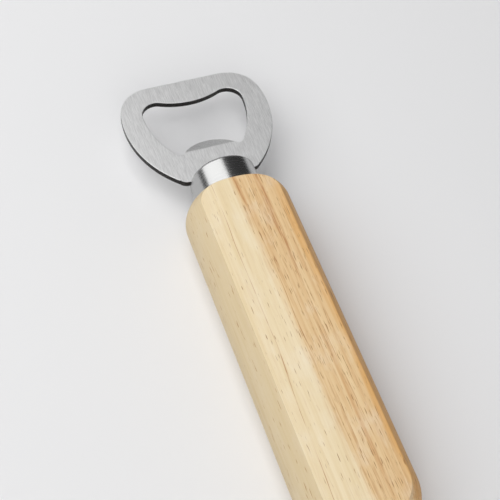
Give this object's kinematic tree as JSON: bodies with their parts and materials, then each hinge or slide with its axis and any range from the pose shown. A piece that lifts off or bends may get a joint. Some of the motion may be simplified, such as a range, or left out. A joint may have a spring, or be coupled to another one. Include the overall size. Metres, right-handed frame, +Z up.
{
  "type": "bottle opener",
  "caption": "Hand-held crown-cap opener: flat stamped steel head with a cap mouth and bent prising lip, polished collar, turned wooden handle with flats.",
  "frame": {"origin": "middle of the bounding box's bottom face, on the surface that the handle's lower flat lies on", "axes": "+Y along the handle towards the top of the head, +Z up through the flat face of the head plate, +X across the head"},
  "size_m": [0.043, 0.152, 0.02],
  "materials": {
    "brushed_sheet": "brushed along the handle, satin",
    "polished_collar": "turned and polished",
    "handle_wood": "pale straight-grained hardwood, sanded and lightly oiled",
    "cured_epoxy": "cured adhesive, hidden inside the handle"
  },
  "bodies": {
    "root": {"head_plate": "brushed_sheet", "ferrule": "polished_collar", "handle": "handle_wood", "tang_epoxy": "cured_epoxy"}
  },
  "joints": []
}
